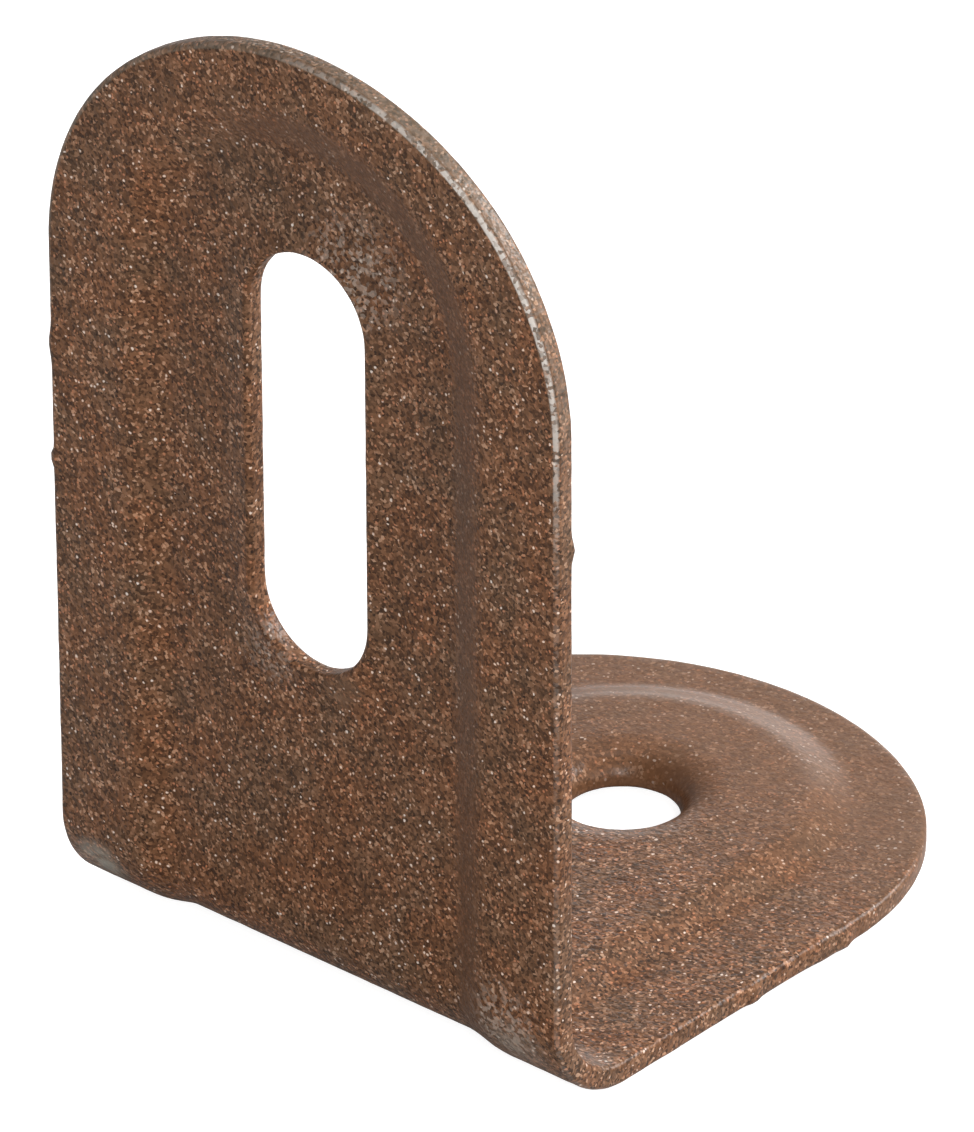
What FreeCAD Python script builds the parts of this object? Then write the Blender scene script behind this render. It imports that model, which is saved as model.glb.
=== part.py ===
"""Adjustable angle bracket: one strip of sheet steel, folded square, with round ends.

A shallow arch-ended panel is pressed towards the inside of the angle and runs through the
fold into both legs. Inside the panel the sheet is dished back out round each opening: a long
slot in the upright leg and a round hole in the flat leg. The sheet keeps one thickness all over.

The model stands on its flat leg. X runs across the strip, Y from the heel to the end of the
flat leg, and Z up. The origin is under the middle of the bounding box.
"""

import FreeCAD, Part
import math
import os

from FreeCAD import Vector

NODE = "bracket"

# The strip and its fold
strip_width = 40.0
upright_length = 64.0       # heel to the top of the upright leg
flat_length = 46.6          # heel to the end of the flat leg
sheet = 1.5                 # steel with its coat
heel_radius = 6.0           # outside of the fold, at the flat margins
edge_break = 0.3            # bevel of the tumbled edges

# The rounded end of each leg is a three-centred arch: a crown arc between two shoulder arcs
shoulder_offset = 2.0       # from the middle of the strip to the centre of a shoulder arc
shoulder_sweep = 57.0       # degrees of each shoulder arc

# The embossed panel
panel_depth = 0.95
panel_slope = 22.0          # degrees
panel_bend_share = 0.5      # of the slope's length, for its two bends
margin = 5.5                # flat strip between the panel and each long edge

# Slot of the upright leg
slot_width = 9.0
slot_travel = 18.7          # distance between the centres of its round ends
slot_top = 46.4             # heel to the upper of these centres
slot_dish_depth = 0.42      # at the rim
slot_dish_slope = 12.0
slot_dish_bend_radius = 9.0

# Hole of the flat leg
hole_diameter = 7.2
hole_place = 29.25          # heel to the centre of the hole
hole_dish_depth = 0.7       # at the rim
hole_dish_slope = 32.0
hole_dish_bend_radius = 5.0
hole_lip_radius = 1.3       # on the raised side of the panel

dish_land = 0.4             # flat ring of the panel, made with each dish

half_width = strip_width / 2
spare = 2 * sheet           # how far a blank or a cutter reaches past what it is trimmed by


def tangent_length(radius, turn):
    """How far before its corner a bend starts, for a turn in degrees."""
    return radius * math.tan(math.radians(turn) / 2)


def run_of(depth, slope):
    """Level distance over which a slope in degrees falls by the depth."""
    return depth / math.tan(math.radians(slope))


panel_slope_length = panel_depth / math.sin(math.radians(panel_slope))
panel_bend_length = panel_bend_share * panel_slope_length / 2
panel_bend_radius = panel_bend_length / tangent_length(1.0, panel_slope)
panel_foot = half_width - margin - panel_bend_length
panel_edge = panel_foot - run_of(panel_depth, panel_slope)
panel_levels = [(0.0, panel_depth), (panel_edge, panel_depth), (panel_foot, 0.0), (half_width + spare, 0.0)]


class Opening:
    """A slot, or a round hole where its travel is nought, with the dish pressed round it."""

    def __init__(self, width, travel, centre, depth, slope, bend_radius):
        self.radius = width / 2
        self.near = centre - travel
        self.far = centre
        self.bend_radius = bend_radius
        corner = self.radius + run_of(depth, slope)
        self.reach = corner + tangent_length(bend_radius, slope) + dish_land
        inside = self.radius / 2
        fall = (corner - inside) * math.tan(math.radians(slope))
        self.levels = [(inside, panel_depth - fall), (corner, panel_depth), (self.reach, panel_depth)]


slot = Opening(slot_width, slot_travel, slot_top, slot_dish_depth, slot_dish_slope, slot_dish_bend_radius)
hole = Opening(hole_diameter, 0.0, hole_place, hole_dish_depth, hole_dish_slope, hole_dish_bend_radius)


def bent_line(corners, radius, offset):
    """Lines and arcs, as lists of points, that follow the corners with a bend at each inner one.

    The corners belong to the middle of the sheet, and the offset moves the line to one of its
    faces, so that both faces share the centres of their bends.
    """
    spots = [Vector(x, 0, z) for x, z in corners]
    ways = [(after - before).normalize() for before, after in zip(spots, spots[1:])]
    normals = [Vector(-way.z, 0, way.x) for way in ways]
    line = []
    here = spots[0] + normals[0] * offset
    for spot, way, onward, normal, next_normal in zip(spots[1:], ways, ways[1:], normals, normals[1:]):
        turn = way.getAngle(onward)
        setback = radius * math.tan(turn / 2)
        between = (normal + next_normal).normalize()
        outward = between * math.copysign(1.0, way.cross(onward).y)
        sagitta = radius / math.cos(turn / 2) - radius
        start = spot - way * setback + normal * offset
        middle = spot - outward * sagitta + between * offset
        end = spot + onward * setback + next_normal * offset
        line.append([here, start])
        line.append([start, middle, end])
        here = end
    line.append([here, spots[-1] + normals[-1] * offset])
    return line


def section(levels, radius, place):
    """Face across the sheet, through the given (x, height) corners of its outer side."""
    corners = [(x, height + sheet / 2) for x, height in levels]
    lower = bent_line(corners, radius, -sheet / 2)
    upper = bent_line(corners, radius, sheet / 2)
    ends = [[lower[0][0], upper[0][0]], [lower[-1][-1], upper[-1][-1]]]

    def as_edge(points):
        placed = [point + Vector(0, place, 0) for point in points]
        if len(placed) == 3:
            return Part.Arc(*placed).toShape()
        return Part.makeLine(*placed)

    loop = Part.sortEdges([as_edge(points) for points in lower + upper + ends])[0]
    return Part.Face(Part.Wire(loop))


def both_halves(shape):
    return shape.fuse(shape.mirror(Vector(0, 0, 0), Vector(1, 0, 0)))


def stadium(radius, opening):
    """Upright prism with the plan of an opening, or of its dish, clear through the sheet."""
    bottom = -spare
    height = panel_depth + sheet + 2 * spare
    prism = Part.makeCylinder(radius, height, Vector(0, opening.near, bottom))
    travel = opening.far - opening.near
    if travel > 0:
        prism = prism.fuse(Part.makeCylinder(radius, height, Vector(0, opening.far, bottom)))
        prism = prism.fuse(Part.makeBox(2 * radius, travel, height, Vector(-radius, opening.near, bottom)))
    return prism


def dish(opening):
    """The sheet round an opening, pressed back out of the panel."""
    near_section = section(opening.levels, opening.bend_radius, opening.near)
    far_section = section(opening.levels, opening.bend_radius, opening.far)
    up = Vector(0, 0, 1)
    pieces = [
        far_section.revolve(Vector(0, opening.far, 0), up, 180),
        near_section.revolve(Vector(0, opening.near, 0), up, -180),
    ]
    travel = opening.far - opening.near
    if travel > 0:
        pieces.append(both_halves(near_section.extrude(Vector(0, travel, 0))))
    return pieces[0].multiFuse(pieces[1:])


def leg(opening):
    """One leg of the blank, laid flat from the fold out, with its panel, dish and opening."""
    across = section(panel_levels, panel_bend_radius, heel_radius)
    straight = both_halves(across.extrude(Vector(0, opening.far - heel_radius, 0)))
    turned = section(panel_levels, panel_bend_radius, opening.far)
    rounded = turned.revolve(Vector(0, opening.far, 0), Vector(0, 0, 1), 180)
    blank = straight.fuse(rounded).cut(stadium(opening.reach, opening))
    return blank.fuse(dish(opening)).cut(stadium(opening.radius, opening))


def fold():
    """The quarter turn of the sheet between the two legs."""
    across = section(panel_levels, panel_bend_radius, heel_radius)
    centre = Vector(0, heel_radius, heel_radius)
    return both_halves(across.revolve(centre, Vector(1, 0, 0), -90))


def outline(length):
    """Prism over the plan of one leg: straight sides and a three-centred arch."""
    join = math.radians(shoulder_sweep)
    shoulder_radius = half_width - shoulder_offset
    crown_radius = shoulder_radius + shoulder_offset / math.cos(join)
    spring = length - crown_radius + shoulder_offset * math.tan(join)

    def shoulder(angle, side):
        x = shoulder_offset + shoulder_radius * math.cos(angle)
        return Vector(side * x, spring + shoulder_radius * math.sin(angle), -spare)

    start = [Vector(side * half_width, -spare, -spare) for side in (-1, 1)]
    edges = [
        Part.makeLine(start[0], start[1]),
        Part.makeLine(start[1], shoulder(0, 1)),
        Part.Arc(shoulder(0, 1), shoulder(join / 2, 1), shoulder(join, 1)).toShape(),
        Part.Arc(shoulder(join, 1), Vector(0, length, -spare), shoulder(join, -1)).toShape(),
        Part.Arc(shoulder(join, -1), shoulder(join / 2, -1), shoulder(0, -1)).toShape(),
        Part.makeLine(shoulder(0, -1), start[0]),
    ]
    return Part.Face(Part.Wire(edges)).extrude(Vector(0, 0, heel_radius + spare))


def turn_up(shape):
    """Swaps Y and Z, which stands a flat leg upright on the other side of the fold."""
    return shape.mirror(Vector(0, 0, 0), Vector(0, 1, -1))


def cut_edges(shape):
    """The edges where the faces of the sheet meet the outline and the openings."""
    chosen = []
    for edge in shape.Edges:
        faces = shape.ancestorsOfType(edge, Part.Face)
        middle = edge.valueAt((edge.FirstParameter + edge.LastParameter) / 2)
        normals = [face.normalAt(*face.Surface.parameter(middle)) for face in faces]
        if len(normals) == 2 and normals[0].getAngle(normals[1]) > math.radians(60):
            chosen.append(edge)
    return chosen


def hole_lip(shape):
    """The upper edge of the hole."""
    reach = hole.radius + sheet / 2
    middle = panel_depth + sheet / 2
    lip = []
    for edge in shape.Edges:
        box = edge.BoundBox
        near_hole = max(abs(box.XMin), abs(box.XMax)) < reach and abs(box.Center.y - hole.far) < reach
        if near_hole and box.ZMin > middle - hole_dish_depth / 2 and box.ZLength < sheet / 2:
            lip.append(edge)
    return lip


blank = leg(hole).multiFuse([fold(), turn_up(leg(slot))])
plans = outline(flat_length).fuse(turn_up(outline(upright_length)))
pressed = blank.common(plans).removeSplitter()
lipped = pressed.makeFillet(hole_lip_radius, hole_lip(pressed))
bracket = lipped.makeChamfer(edge_break, cut_edges(lipped)).Solids[0]
bracket.translate(Vector(0, -flat_length / 2, 0))

os.makedirs("parts", exist_ok=True)
bracket.exportStep("parts/" + NODE + ".step")
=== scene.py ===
import math

import bmesh
import bpy
import numpy as np
from mathutils import Matrix, Vector, noise
from mathutils.geometry import delaunay_2d_cdt


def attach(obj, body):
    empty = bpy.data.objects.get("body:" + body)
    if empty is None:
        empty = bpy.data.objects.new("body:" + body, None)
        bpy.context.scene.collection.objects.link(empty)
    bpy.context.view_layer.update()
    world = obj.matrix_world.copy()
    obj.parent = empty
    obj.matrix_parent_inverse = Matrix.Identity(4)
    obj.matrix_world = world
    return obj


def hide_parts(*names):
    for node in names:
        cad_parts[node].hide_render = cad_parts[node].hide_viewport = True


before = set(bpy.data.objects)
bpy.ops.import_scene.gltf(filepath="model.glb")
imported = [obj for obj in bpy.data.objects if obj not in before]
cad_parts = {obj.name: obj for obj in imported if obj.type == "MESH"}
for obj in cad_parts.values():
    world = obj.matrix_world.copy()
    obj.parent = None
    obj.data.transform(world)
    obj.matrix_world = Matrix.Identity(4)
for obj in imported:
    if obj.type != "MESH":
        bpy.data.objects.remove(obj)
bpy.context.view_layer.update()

# The bracket is one strip of sheet steel, blanked with round ends. An arch-ended panel is pressed
# into it, the sheet is dished back out round the slot and the hole, and the strip is folded square.
# All the cut edges are tumbled soft before the coat goes on. Sizes are in millimetres.
strip_width = 40.0
upright_length = 64.0
flat_length = 46.6
sheet = 1.5
heel_radius = 6.3            # outside of the fold, at the flat margins
panel_heel_radius = 4.2      # outside of the fold, across the panel
fold_spare = 0.2             # flat stretch at each end of the fold
shoulder_offset = 2.0        # from the middle of the strip to the centre of a shoulder arc
shoulder_sweep = math.radians(57.0)
panel_depth = 0.95
panel_slope = math.radians(22.0)
panel_bend_share = 0.5       # of the slope's length, for its two bends
margin = 5.5
slot_width = 9.0
slot_travel = 18.7
slot_top = 46.4
slot_dish_depth = 0.42
slot_dish_slope = math.radians(12.0)
slot_dish_bend_radius = 9.0
hole_diameter = 7.2
hole_place = 29.25
hole_dish_depth = 0.7
hole_dish_slope = math.radians(32.0)
hole_dish_bend_radius = 7.0

half_width = strip_width / 2
fold_reach = heel_radius + fold_spare
bend_length = 2 * fold_reach
panel_bend_length = panel_bend_share * panel_depth / math.sin(panel_slope) / 2
panel_bend_radius = panel_bend_length / math.tan(panel_slope / 2)
panel_foot = half_width - margin - panel_bend_length
panel_edge = panel_foot - panel_depth / math.tan(panel_slope)


def along_blank(height, leg):
    """Place along the flat blank, from the middle of the fold, of a height measured from the heel."""
    return leg * (height - fold_reach + bend_length / 2)


flat_leg, upright_leg = 1, -1
hole_middle = along_blank(hole_place, flat_leg)
slot_ends = along_blank(slot_top, upright_leg), along_blank(slot_top - slot_travel, upright_leg)
tips = {flat_leg: along_blank(flat_length, flat_leg), upright_leg: along_blank(upright_length, upright_leg)}


def from_spine(x, s, start, end):
    """Distance from the middle line of a panel, slot or hole that runs from start to end."""
    return np.hypot(x, np.maximum(np.maximum(start - s, s - end), 0))


def ramp(past, slope, radius):
    """Fall of a level line that bends down to a slope, at a distance past the corner."""
    before = radius * math.tan(slope / 2)
    in_bend = radius - np.sqrt(np.maximum(radius ** 2 - (past + before) ** 2, 0))
    fall = np.where(past < before * math.cos(slope), in_bend, np.tan(slope) * past)
    return np.where(past < -before, 0.0, fall)


def panel_rise(x, s):
    """Height of the pressed panel above the flat margins."""
    from_middle = from_spine(x, s, slot_ends[0], hole_middle)
    halfway = (panel_edge + panel_foot) / 2
    upper = panel_depth - ramp(from_middle - panel_edge, panel_slope, panel_bend_radius)
    lower = ramp(panel_foot - from_middle, panel_slope, panel_bend_radius)
    return np.where(from_middle < halfway, upper, lower)


def middle_rise(x, s):
    """Height of the middle of the sheet above the outer side of the flat blank."""
    rise = sheet / 2 + panel_rise(x, s)
    slot_corner = slot_width / 2 + slot_dish_depth / math.tan(slot_dish_slope)
    hole_corner = hole_diameter / 2 + hole_dish_depth / math.tan(hole_dish_slope)
    from_slot = from_spine(x, s, *slot_ends)
    from_hole = from_spine(x, s, hole_middle, hole_middle)
    rise -= ramp(slot_corner - from_slot, slot_dish_slope, slot_dish_bend_radius)
    rise -= ramp(hole_corner - from_hole, hole_dish_slope, hole_dish_bend_radius)
    return rise


def folded(x, s, rise):
    """Place in the folded bracket of points at a rise above the outer side of the flat blank.

    The fold is tighter across the panel than at the margins, as its centre moves out to the heel.
    """
    share = panel_rise(x, s) / panel_depth
    centre = heel_radius + share * (panel_heel_radius + panel_depth - heel_radius)
    straight = fold_reach - centre
    curve = (centre - panel_depth * share - sheet / 2) * math.pi / 2
    walked = np.clip(s / bend_length + 0.5, 0, 1) * (2 * straight + curve)
    turn = np.clip((walked - straight) / curve, 0, 1) * math.pi / 2
    past = np.maximum(np.abs(s) - bend_length / 2, 0)
    y = centre - (centre - rise) * np.cos(turn) + np.maximum(walked - straight - curve, 0) + past * (s > 0)
    z = centre - (centre - rise) * np.sin(turn) + np.maximum(straight - walked, 0) + past * (s < 0)
    return np.stack([x, y - flat_length / 2, z], axis=-1)


def on_middle(x, s):
    """Place of points on the middle of the embossed and folded sheet."""
    return folded(x, s, middle_rise(x, s))


def in_sheet(x, s, depth):
    """Place of points at a depth below the outer face of the embossed and folded sheet."""
    nudge = 0.01
    crosswise = on_middle(x + nudge, s) - on_middle(x - nudge, s)
    lengthwise = on_middle(x, s + nudge) - on_middle(x, s - nudge)
    inward = np.cross(crosswise, lengthwise)
    inward /= np.linalg.norm(inward, axis=-1, keepdims=True)
    return on_middle(x, s) + inward * (depth - sheet / 2)[..., None]


# The blank is stamped out with its slot and its hole. Each of these cut edges is a loop of points
# with the directions that face out of the metal. The ends of the strip are three-centred arches,
# with a crown arc between two shoulder arcs.
grid_step = 0.44
shoulder_radius = half_width - shoulder_offset
crown_radius = shoulder_radius + shoulder_offset / math.cos(shoulder_sweep)
crown_down = shoulder_offset * math.tan(shoulder_sweep)
arch_height = crown_radius - crown_down


def evenly(start, end, length):
    """Numbers from start up to but not with the end, one for each grid step of the length."""
    return np.linspace(start, end, max(int(round(length / grid_step)), 2), endpoint=False)


def straight_run(x, start, end, outward):
    """Points of a straight side with the directions out of the metal."""
    run = evenly(start, end, abs(end - start))
    return np.stack([np.full_like(run, x), run], axis=-1), np.tile([outward, 0.0], (len(run), 1))


def arc_run(angles, radius, centre_x, centre_s, facing):
    """Points of an arc with the directions out of the metal."""
    ways = np.stack([np.cos(angles), np.sin(angles)], axis=-1)
    return np.array([centre_x, centre_s]) + radius * ways, facing * ways


def joined(pieces):
    return [np.concatenate(part) for part in zip(*pieces)]


def outline_loop():
    """The outline, anticlockwise from the right side of the fold."""
    shoulder = shoulder_radius * shoulder_sweep
    crown = crown_radius * (math.pi - 2 * shoulder_sweep)
    pieces = []
    for leg, base in ((flat_leg, 0), (upright_leg, math.pi)):
        spring = leg * (abs(tips[leg]) - arch_height)
        side_end = -leg * (abs(tips[-leg]) - arch_height)
        first = evenly(base, base + shoulder_sweep, shoulder)
        second = evenly(base + shoulder_sweep, base + math.pi - shoulder_sweep, crown)
        third = evenly(base + math.pi - shoulder_sweep, base + math.pi, shoulder)
        pieces.append(straight_run(leg * half_width, side_end, spring, float(leg)))
        pieces.append(arc_run(first, shoulder_radius, leg * shoulder_offset, spring, 1))
        pieces.append(arc_run(second, crown_radius, 0.0, spring - leg * crown_down, 1))
        pieces.append(arc_run(third, shoulder_radius, -leg * shoulder_offset, spring, 1))
    return joined(pieces)


def opening_loop(radius, start, end):
    """The edge of the slot, or of the hole where start and end are one place."""
    half_turn = radius * math.pi
    pieces = [arc_run(evenly(0, math.pi, half_turn), radius, 0.0, end, -1)]
    if end > start:
        pieces.append(straight_run(-radius, end, start, 1.0))
    pieces.append(arc_run(evenly(math.pi, 2 * math.pi, half_turn), radius, 0.0, start, -1))
    if end > start:
        pieces.append(straight_run(radius, start, end, -1.0))
    return joined(pieces)


def room(x, s, insets):
    """Distance from a point of the blank to the nearest inset cut edge, above nought in the metal."""
    spring = np.where(s > 0, tips[flat_leg], -tips[upright_leg]) - arch_height
    past = np.abs(s) - spring
    in_crown = np.arctan2(past + crown_down, np.abs(x)) > shoulder_sweep
    crown = crown_radius - np.hypot(x, past + crown_down)
    shoulder = shoulder_radius - np.hypot(np.abs(x) - shoulder_offset, past)
    inside = np.where(past < 0, half_width - np.abs(x), np.where(in_crown, crown, shoulder))
    slot_room = from_spine(x, s, *slot_ends) - slot_width / 2
    hole_room = from_spine(x, s, hole_middle, hole_middle) - hole_diameter / 2
    return np.minimum(inside - insets[0], np.minimum(slot_room - insets[1], hole_room - insets[2]))


# The mesh of the sheet: its two faces share one fine net of triangles, and rings of quads round
# every cut edge give its soft rounding and its wall. The hole has a wide lip on the raised side.
edge_radius = 0.38
slot_rim_radius = 0.45
slot_ring = 0.2              # flat ring of quads outside the rounding
hole_lip_width = 1.3
hole_lip_height = 1.08
hole_ring = 0.35
rounding_steps = 6
mm = 0.001

loops = [
    outline_loop(),
    opening_loop(slot_width / 2, *slot_ends),
    opening_loop(hole_diameter / 2, hole_middle, hole_middle),
]
# For each loop: the radius of the outer rounding, then the width and the height of the inner one
roundings = [
    (edge_radius, edge_radius, edge_radius),
    (slot_rim_radius, edge_radius, edge_radius),
    (edge_radius, hole_lip_width, hole_lip_height),
]
insets = [edge_radius, slot_rim_radius + slot_ring, hole_lip_width + hole_ring]
net_points = []
net_edges = []
loop_starts = []
for (points, outward), inset in zip(loops, insets):
    start, count = len(net_points), len(points)
    loop_starts.append(start)
    net_edges += [(start + i, start + (i + 1) % count) for i in range(count)]
    net_points += list(points - outward * inset)

rows = np.arange(tips[upright_leg], tips[flat_leg], grid_step * math.sqrt(3) / 2)
columns = np.arange(-half_width, half_width, grid_step)
net_x, net_s = np.meshgrid(columns, rows)
net_x = net_x + (np.arange(len(rows)) % 2)[:, None] * grid_step / 2
least_room = 0.6 * grid_step
free = room(net_x, net_s, insets) > least_room
net_points += list(np.stack([net_x[free], net_s[free]], axis=-1))

same_point = 1e-7
barely_outside = -0.01
net = delaunay_2d_cdt([Vector(point) for point in net_points], net_edges, [], 0, same_point)
net_flat = np.array([tuple(point) for point in net[0]])
net_faces = np.array(net[2])
centres = net_flat[net_faces].mean(axis=1)
net_faces = net_faces[room(centres[:, 0], centres[:, 1], insets) > barely_outside]
first_sides = net_flat[net_faces[:, 1]] - net_flat[net_faces[:, 0]]
second_sides = net_flat[net_faces[:, 2]] - net_flat[net_faces[:, 0]]
turns = np.cross(first_sides, second_sides)
net_faces = np.where(turns[:, None] > 0, net_faces, net_faces[:, ::-1])

place_count = len(net_flat)
places = [net_flat, net_flat]
depths = [np.zeros(place_count), np.full(place_count, sheet)]
faces = [tuple(face) for face in net_faces[:, ::-1].tolist()]
faces += [tuple(face) for face in (net_faces + place_count).tolist()]


def edge_profile(outer, inner_width, inner_height, inset):
    """Steps round a cut edge, from the outer face to the inner one.

    Each step is the distance back from the edge, and the depth.
    """
    angles = np.linspace(0, math.pi / 2, rounding_steps + 1)

    def flat_steps(radius):
        count = math.ceil((inset - radius) / grid_step)
        return [radius + (inset - radius) * i / count for i in range(count)]

    steps = [(back, 0.0) for back in reversed(flat_steps(outer))]
    steps += [(outer * (1 - math.sin(a)), outer * (1 - math.cos(a))) for a in angles[1:]]
    steps += [
        (inner_width * (1 - math.cos(a)), sheet - inner_height * (1 - math.sin(a)))
        for a in angles[:-1]
    ]
    steps += [(back, sheet) for back in flat_steps(inner_width)]
    return steps


def tilts(rise, x, s, nudge):
    """Slopes of a rise across the blank and along it."""
    tilt_x = (rise(x + nudge, s) - rise(x - nudge, s)) / (2 * nudge)
    tilt_s = (rise(x, s + nudge) - rise(x, s - nudge)) / (2 * nudge)
    return tilt_x, tilt_s


def lean(places, depth):
    """How far the slope of the sheet carries points at a depth level away from their places."""
    tilt_x, tilt_s = tilts(middle_rise, places[:, 0], places[:, 1], 0.01)
    tilt = np.stack([tilt_x, tilt_s], axis=-1)
    return tilt * (sheet / 2 - depth) / np.sqrt(1 + tilt_x ** 2 + tilt_s ** 2)[:, None]


def band(ring, next_ring):
    """Quads between two rings."""
    count = len(ring)
    after = [(i + 1) % count for i in range(count)]
    return [(ring[i], ring[j], next_ring[j], next_ring[i]) for i, j in enumerate(after)]


lean_rounds = 8
total = 2 * place_count
for (points, outward), start, rounding, inset in zip(loops, loop_starts, roundings, insets):
    count = len(points)
    ring = list(range(start, start + count))
    for back, depth in edge_profile(*rounding, inset):
        level_place = points - outward * back
        upright_place = level_place
        for _ in range(lean_rounds):
            upright_place = level_place - lean(upright_place, depth)
        places.append(upright_place)
        depths.append(np.full(count, depth))
        next_ring = list(range(total, total + count))
        total += count
        faces += band(ring, next_ring)
        ring = next_ring
    faces += band(ring, [place_count + start + i for i in range(count)])

places = np.concatenate(places)
depths = np.concatenate(depths)
points = in_sheet(places[:, 0], places[:, 1], depths)
mesh = bpy.data.meshes.new("bracket_sheet")
mesh.from_pydata((points * mm).tolist(), [], faces)
mesh.validate()
form = bmesh.new()
form.from_mesh(mesh)
bmesh.ops.recalc_face_normals(form, faces=form.faces)
form.to_mesh(mesh)
form.free()
mesh.shade_smooth()

# The coat is a textured powder, sprayed on and baked as one layer over the whole sheet. It lies a
# little uneven on the faces and has small nibs on a few edges, where the part hung or touched
# its neighbours. Each nib is a place, a size and a height.
nibs = [
    (Vector((-20.0, -22.8, 38.5)), 1.0, 0.16),
    (Vector((-20.0, -22.8, 30.7)), 0.45, 0.36),
    (Vector((20.0, -21.9, 38.4)), 0.6, 0.20),
    (Vector((20.0, 3.3, 0.6)), 0.6, 0.30),
    (Vector((20.0, -5.2, 0.6)), 0.6, 0.26),
    (Vector((20.0, 1.6, 0.6)), 1.5, 0.14),
]
broad_waves, broad_height = 1.6, 0.016
fine_waves, fine_height = 0.7, 0.012
fine_shift = Vector((9, 5, 2))


def coat_lift(spot):
    """How far the coat stands out at a spot."""
    lift = broad_height * noise.noise(spot / broad_waves)
    lift += fine_height * noise.noise(spot / fine_waves + fine_shift)
    for centre, size, height in nibs:
        apart = (spot - centre).length
        if apart < 3 * size:
            lift += height * math.exp(-(apart / size) ** 2)
    return lift


verts = np.empty(len(mesh.vertices) * 3)
mesh.vertices.foreach_get("co", verts)
verts = verts.reshape(-1, 3)
normals = np.array([tuple(normal.vector) for normal in mesh.vertex_normals])
lifts = np.array([coat_lift(Vector(vert)) for vert in verts / mm])
verts += normals * lifts[:, None] * mm
mesh.vertices.foreach_set("co", verts.ravel())


def pressed_rise(x, s):
    """Height of the pressed sheet, without the dish of the slot, which keeps its grain."""
    return np.where(s > 0, middle_rise(x, s), panel_rise(x, s))


def mark(name, values):
    """Keeps one value for each point of the mesh, for the coat's material to read."""
    mesh.attributes.new(name, "FLOAT", "POINT").data.foreach_set("value", values)


# Three marks guide the coat: how near a point is to the outline, most of all on its outer corner,
# how steeply the sheet slopes away from the lamps there, down or left on the outer face, and how deep
# it lies in the outer face. The last two set where shade is painted into the colour.
wear_reach = 1.3
wear_fall = 1.2              # for each millimetre of depth
least_wear = 0.72
full_slope = 0.35            # rise in each millimetre
outline_alone = (0.0, -9.0, -9.0)    # insets that put the slot and the hole out of reach
x, s = places[:, 0], places[:, 1]
near_outline = np.clip(1 - np.abs(room(x, s, outline_alone)) / wear_reach, 0, 1)
tilt_x, tilt_s = tilts(pressed_rise, x, s, 0.05)
on_outer_side = depths < sheet / 2
# How far the sheet turns from the lamps, which sets the painted shade on its slopes.
turned_from_light = np.where(on_outer_side, 1.1 * tilt_s - tilt_x, tilt_s + tilt_x)
recess = (middle_rise(x, s) - sheet / 2) / panel_depth
mark("edge", near_outline * np.clip(1 - wear_fall * depths, least_wear, 1))
mark("slope", np.clip(turned_from_light / full_slope, 0, 1))
mark("recess", np.where(on_outer_side, recess, 0))
mesh.update()

bracket = bpy.data.objects.new("bracket_sheet", mesh)
bpy.context.scene.collection.objects.link(bracket)
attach(bracket, "root")
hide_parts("bracket")


def node_adder(tree):
    """A function that adds a node to a tree, with its inputs set or linked."""

    def add(kind, inputs=None, **settings):
        node = tree.nodes.new(kind)
        for key, value in settings.items():
            setattr(node, key, value)
        for key, value in (inputs or {}).items():
            if isinstance(value, bpy.types.NodeSocket):
                tree.links.new(value, node.inputs[key])
            else:
                node.inputs[key].default_value = value
        return node

    return add


def finish_material(name):
    """A new material, its node tree and its principled shader."""
    material = bpy.data.materials.new(name)
    material.use_nodes = True
    return material, material.node_tree, material.node_tree.nodes["Principled BSDF"]


coat, coat_tree, coat_shader = finish_material("textured_coat")
coat_node = node_adder(coat_tree)
place = coat_node("ShaderNodeTexCoord").outputs["Object"]
rightward, onward, upward = coat_node("ShaderNodeSeparateXYZ", {"Vector": place}).outputs


def spread(source, low, high, to_low=0.0, to_high=1.0):
    """A value stretched from low..high to another range, and held inside it."""
    inputs = {"Value": source, "From Min": low, "From Max": high, "To Min": to_low, "To Max": to_high}
    return coat_node("ShaderNodeMapRange", inputs).outputs["Result"]


def product(one, other):
    return coat_node("ShaderNodeMath", {0: one, 1: other}, operation="MULTIPLY").outputs[0]


def marked(name):
    return coat_node("ShaderNodeAttribute", attribute_name=name).outputs["Fac"]


def blotches(size, detail, shift):
    """Soft blotches about so many millimetres across."""
    moved = coat_node("ShaderNodeVectorMath", {0: place, 1: (shift, shift, shift)}, operation="ADD")
    inputs = {"Vector": moved.outputs[0], "Scale": 500.0 / size, "Detail": detail}
    return coat_node("ShaderNodeTexNoise", inputs).outputs["Fac"]


def laid_over(under, colour, amount):
    """One colour laid over another by an amount."""
    inputs = {"Fac": amount, "Color1": under, "Color2": (*colour, 1.0)}
    return coat_node("ShaderNodeMixRGB", inputs).outputs["Color"]


def within(spot, reach, core, strength):
    """An amount for a round spot, full inside its core, which is a share of its reach."""
    away = coat_node("ShaderNodeVectorMath", {0: place, 1: Vector(spot) * mm}, operation="DISTANCE")
    return spread(away.outputs["Value"], reach * mm, core * reach * mm, 0.0, strength)


# The grains have wavy outlines, so each is looked up at a place that wavers a little.
waver_scale = 4200.0
waver = 0.14
waves = coat_node("ShaderNodeTexNoise", {"Vector": place, "Scale": waver_scale, "Detail": 0.0})
scaled = {0: waves.outputs["Color"], "Scale": waver * mm}
offset = coat_node("ShaderNodeVectorMath", scaled, operation="SCALE").outputs[0]
wavy_place = coat_node("ShaderNodeVectorMath", {0: place, 1: offset}, operation="ADD").outputs[0]


def grains(size):
    """A mosaic of grains so many millimetres across: a random value of each, and the way from its middle."""
    cells = coat_node("ShaderNodeTexVoronoi", {"Vector": wavy_place, "Scale": 1000.0 / size})
    split = coat_node("ShaderNodeSeparateColor", {"Color": cells.outputs["Color"]})
    return split.outputs["Red"], cells.outputs["Distance"]


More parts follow.
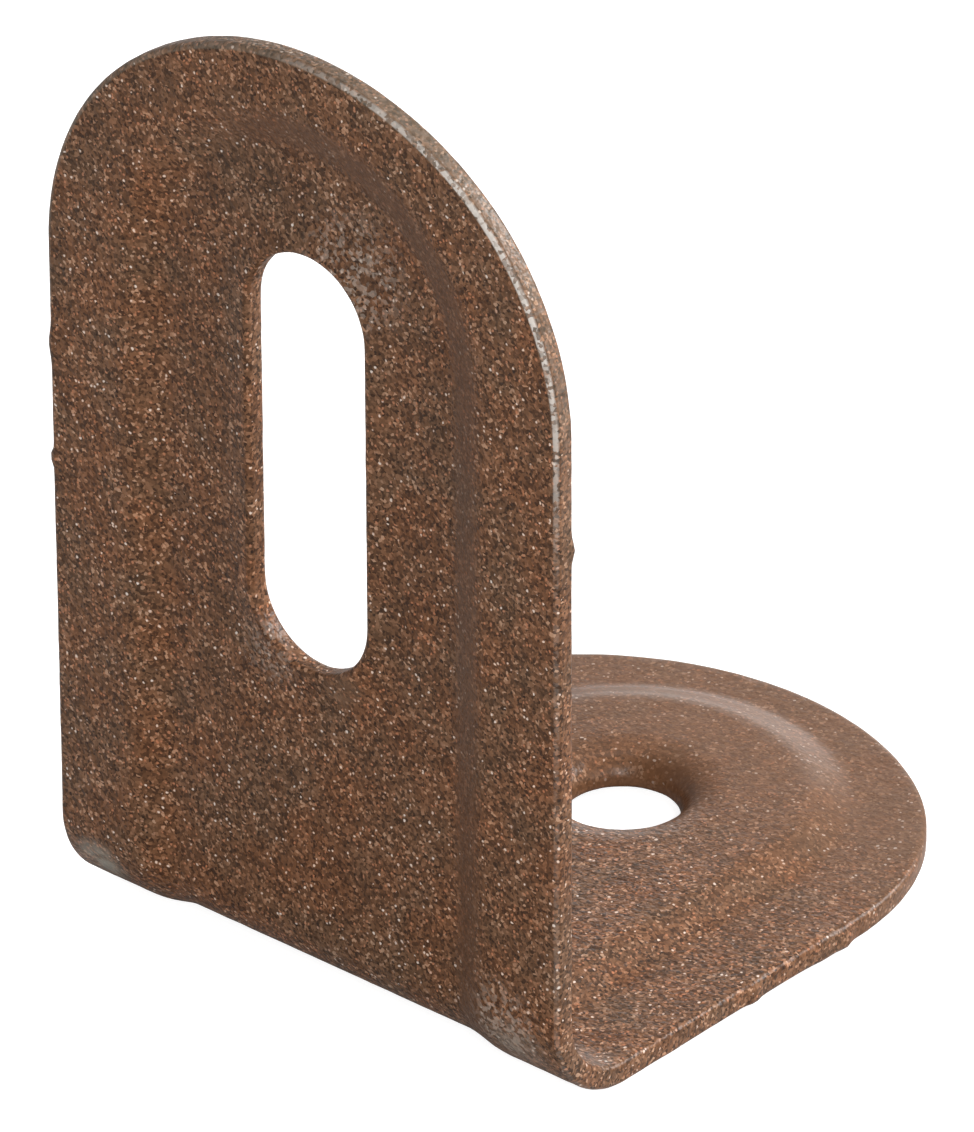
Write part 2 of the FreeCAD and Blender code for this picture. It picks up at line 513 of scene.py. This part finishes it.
# The ground tone of the powder: brown grains from near black to tan, a little darker or paler in
# soft drifts.
ground_grain = 0.19
ground_tones = [
    (0.00, (0.046, 0.020, 0.009)),
    (0.15, (0.070, 0.031, 0.014)),
    (0.35, (0.105, 0.047, 0.022)),
    (0.60, (0.150, 0.069, 0.033)),
    (0.80, (0.195, 0.091, 0.045)),
    (0.92, (0.250, 0.120, 0.063)),
    (1.00, (0.430, 0.245, 0.150)),
]
ground_chance, _ = grains(ground_grain)
drift = spread(blotches(0.8, 2.0, 0.3), 0.3, 0.7, -0.06, 0.06)
tone = coat_node("ShaderNodeMath", {0: ground_chance, 1: drift}, operation="ADD", use_clamp=True).outputs[0]
mosaic = coat_node("ShaderNodeValToRGB", {"Fac": tone})
steps = mosaic.color_ramp.elements
between = [steps.new(0.5) for _ in ground_tones[2:]]
for (stop, colour), step in zip(ground_tones, [steps[0]] + between + [steps[-1]]):
    step.position = stop
    step.color = (*colour, 1.0)
powder = mosaic.outputs["Color"]

# Round flecks lie on it. Each kind is a colour, the chances at which it starts and is full, and
# its strength: dark pits, which are painted shadow in the coat's tiny hollows, copper flecks, and
# pale sparks, which are painted glints.
fleck_grain = 0.25
fleck_kinds = [
    ((0.022, 0.011, 0.006), 0.17, 0.11, 0.9),
    ((0.440, 0.185, 0.095), 0.78, 0.82, 0.9),
    ((0.720, 0.580, 0.480), 0.94, 0.97, 1.0),
]
chance, from_fleck = grains(fleck_grain)
dot = spread(from_fleck, 0.45, 0.25)
for colour, starts, full, strength in fleck_kinds:
    powder = laid_over(powder, colour, product(spread(chance, starts, full, 0.0, strength), dot))

# The hue drifts in patches between cool and warm brown, and the grain is calmer towards the end
# of the flat leg.
cool, warm = (0.94, 1.04, 1.12, 1.0), (1.08, 1.00, 0.93, 1.0)
calm_brown = (0.166, 0.083, 0.044)
redness = spread(blotches(1.6, 2.0, 0.6), 0.34, 0.66)
hue = coat_node("ShaderNodeMixRGB", {"Fac": redness, "Color1": cool, "Color2": warm}).outputs["Color"]
tinted = {"Fac": 1.0, "Color1": powder, "Color2": hue}
powder = coat_node("ShaderNodeMixRGB", tinted, blend_type="MULTIPLY").outputs["Color"]
calm = spread(onward, -2 * mm, 14 * mm, 0.0, 0.6)
powder = laid_over(powder, calm_brown, calm)

# The outline is painted pale on its upper edges, partly wear and partly a painted highlight where
# those edges catch the lamps, and its outer corner carries a bright line on the right shoulder of the
# upright leg, partly rubbed to bare metal and partly a painted highlight.
wear_and_highlight_tan = (0.170, 0.140, 0.100)
bare_metal_and_highlight = (0.62, 0.57, 0.52)
edge = marked("edge")
wear_and_highlight = product(spread(edge, 0.68, 0.72, 0.0, 0.35), spread(upward, 36 * mm, 56 * mm))
powder = laid_over(powder, wear_and_highlight_tan, wear_and_highlight)
rubbed_and_highlight = product(spread(edge, 0.715, 0.770, 0.0, 0.90), spread(chance, 0.20, 0.60, 0.15, 1.0))
rubbed_and_highlight = product(rubbed_and_highlight, spread(upward, 38 * mm, 50 * mm, 0.1, 1.0))
rubbed_and_highlight = product(rubbed_and_highlight, spread(rightward, -2 * mm, 12 * mm, 0.1, 1.0))
powder = laid_over(powder, bare_metal_and_highlight, rubbed_and_highlight)

# Rubbed spots, each a place, a reach and a colour: the two corners of the fold, the left one worn
# and the right one partly worn and partly a painted greyish sheen, a smudge under the slot and a
# white speck near the top. Then painted sheens, highlights laid on as pale grains, on the slot's
# dish and the right corner.
rubbed_and_sheen_spots = [
    ((-17.2, -23.5, 2.9), 2.5, (0.42, 0.40, 0.34)),
    ((15.8, -24.0, 3.1), 3.4, (0.20, 0.155, 0.12)),
    ((2.6, -22.6, 22.9), 1.8, (0.150, 0.085, 0.050)),
    ((-4.5, -23.3, 58.0), 0.4, (0.80, 0.74, 0.68)),
]
painted_sheens = [
    ((3.8, -24.0, 51.3), 4.8),
    ((-3.4, -24.0, 23.0), 3.0),
    ((15.2, -24.2, 4.6), 4.2),
]
painted_sheen_colour = (0.42, 0.34, 0.28)
ragged = spread(blotches(0.5, 2.0, 1.1), 0.35, 0.55, 0.3, 1.0)
for spot, reach, colour in rubbed_and_sheen_spots:
    powder = laid_over(powder, colour, product(within(spot, reach, 0.3, 0.8), ragged))
sheen_grains = spread(chance, 0.50, 0.75)
for spot, reach in painted_sheens:
    powder = laid_over(powder, painted_sheen_colour, product(within(spot, reach, 0.4, 0.55), sheen_grains))

# Painted shade: where the sheet slopes away from the lamps, down or left on the outer face, the powder
# is painted a smooth darker brown, and the outer face is painted darker where the panel is deep, the
# more so higher up.
painted_shade_brown = (0.114, 0.049, 0.021)
painted_shade_black = (0.0, 0.0, 0.0)
powder = laid_over(powder, painted_shade_brown, spread(marked("slope"), 0.1, 1.0, 0.0, 0.65))
shade = product(spread(marked("recess"), 0.0, 1.0, 0.0, 0.10), spread(upward, 10 * mm, 30 * mm, 0.2, 1.0))
powder = laid_over(powder, painted_shade_black, shade)
coat_tree.links.new(powder, coat_shader.inputs["Base Color"])
coat_shader.inputs["Roughness"].default_value = 0.38
coat_shader.inputs["Specular IOR Level"].default_value = 0.2

bump_grain = 0.17
bump_height = 0.1
roughening = {
    "Height": blotches(bump_grain, 1.0, 0.2),
    "Strength": spread(calm, 0.0, 0.6, 0.8, 0.25),
    "Distance": bump_height * mm,
}
bump = coat_node("ShaderNodeBump", roughening)
coat_tree.links.new(bump.outputs["Normal"], coat_shader.inputs["Normal"])
mesh.materials.append(coat)

# The studio: a pale floor, even daylight from all round and six soft lamps. The strongest stands
# behind on the right and the next in front on the right. The others bring out the right edge, the
# slot's dish, the top edge and the ridge at the far end. Lengths are in metres from here on.
half_floor = 3
under_bracket = 0.0002
floor_grey = (0.56, 0.56, 0.56, 1)
floor_glow = 0.82            # to the camera alone
white = (1, 1, 1, 1)
sky_light = 0.165
sky_in_gloss = 0.45          # more, where the bracket mirrors it

corners = [(x * half_floor, y * half_floor, 0) for x, y in ((-1, -1), (1, -1), (1, 1), (-1, 1))]
floor_mesh = bpy.data.meshes.new("studio_floor")
floor_mesh.from_pydata(corners, [], [(0, 1, 2, 3)])
floor = bpy.data.objects.new("studio_floor", floor_mesh)
floor.location.z = -under_bracket
bpy.context.scene.collection.objects.link(floor)
floor_finish, floor_tree, floor_shader = finish_material("studio_white")
floor_node = node_adder(floor_tree)
floor_shader.inputs["Base Color"].default_value = floor_grey
floor_shader.inputs["Roughness"].default_value = 0.9
floor_shader.inputs["Emission Color"].default_value = white
seen = floor_node("ShaderNodeLightPath").outputs["Is Camera Ray"]
glow = floor_node("ShaderNodeMath", {0: seen, 1: floor_glow}, operation="MULTIPLY")
floor_tree.links.new(glow.outputs[0], floor_shader.inputs["Emission Strength"])
floor_mesh.materials.append(floor_finish)

world = bpy.data.worlds.new("studio_sky")
bpy.context.scene.world = world
world.use_nodes = True
sky_node = node_adder(world.node_tree)
sky = world.node_tree.nodes["Background"]
path = sky_node("ShaderNodeLightPath").outputs
gloss = {0: path["Is Glossy Ray"], 1: sky_in_gloss, 2: sky_light}
reflected = sky_node("ShaderNodeMath", gloss, operation="MULTIPLY_ADD").outputs[0]
brightest = sky_node("ShaderNodeMath", {0: path["Is Camera Ray"], 1: reflected}, operation="MAXIMUM")
world.node_tree.links.new(brightest.outputs[0], sky.inputs["Strength"])
sky.inputs["Color"].default_value = white


def soft_lamp(name, stand, aim, size, watts):
    """A round soft lamp that stands at one place and aims at another."""
    lamp = bpy.data.lights.new(name, "AREA")
    lamp.shape = "DISK"
    lamp.size = size
    lamp.energy = watts
    holder = bpy.data.objects.new(name, lamp)
    holder.location = stand
    holder.rotation_euler = (Vector(aim) - Vector(stand)).to_track_quat("-Z", "Y").to_euler()
    bpy.context.scene.collection.objects.link(holder)


soft_lamp("key_lamp", (0.32, 0.58, 0.40), (0, 0, 0.03), 0.35, 7.1)
soft_lamp("side_lamp", (0.62, -0.05, 0.24), (0, 0, 0.03), 0.16, 0.9)
soft_lamp("front_lamp", (0.50, -0.54, 0.38), (0, 0, 0.03), 0.25, 3.9)
soft_lamp("low_lamp", (-0.22, -0.85, 0.09), (0, 0, 0.04), 0.16, 0.6)
soft_lamp("top_lamp", (-0.05, 0.25, 0.85), (0, 0, 0.03), 0.45, 1.4)
soft_lamp("back_lamp", (-0.42, 0.66, 0.13), (0, 0, 0.01), 0.35, 0.75)

# The camera stands well back with a long lens, as in the photograph. The focal length is given in
# rows of the picture.
azimuth = math.radians(41.21)
elevation = math.radians(29.47)
roll = math.radians(-0.25)
distance = 0.72084
target = Vector((0, -0.0033, 0.034))
shift_right, shift_up = -0.002144, -0.010408
picture_rows = 1132
focal_rows = 12050
sensor_height = 36.0         # millimetres
level = math.cos(elevation)
back = Vector((math.sin(azimuth) * level, -math.cos(azimuth) * level, math.sin(elevation)))
right = Vector((math.cos(azimuth), math.sin(azimuth), 0))
up = back.cross(right)
rolled_right = math.cos(roll) * right + math.sin(roll) * up
rolled_up = -math.sin(roll) * right + math.cos(roll) * up
camera_data = bpy.data.cameras.new("camera")
camera_data.sensor_fit = "VERTICAL"
camera_data.sensor_height = sensor_height
camera_data.lens = sensor_height * focal_rows / picture_rows
camera_data.clip_end = 20
camera = bpy.data.objects.new("camera", camera_data)
stand = target + back * distance + rolled_right * shift_right + rolled_up * shift_up
turned = Matrix((rolled_right, rolled_up, back)).transposed().to_4x4()
camera.matrix_world = Matrix.Translation(stand) @ turned
bpy.context.scene.collection.objects.link(camera)
bpy.context.scene.camera = camera
bpy.context.scene.view_settings.view_transform = "Standard"
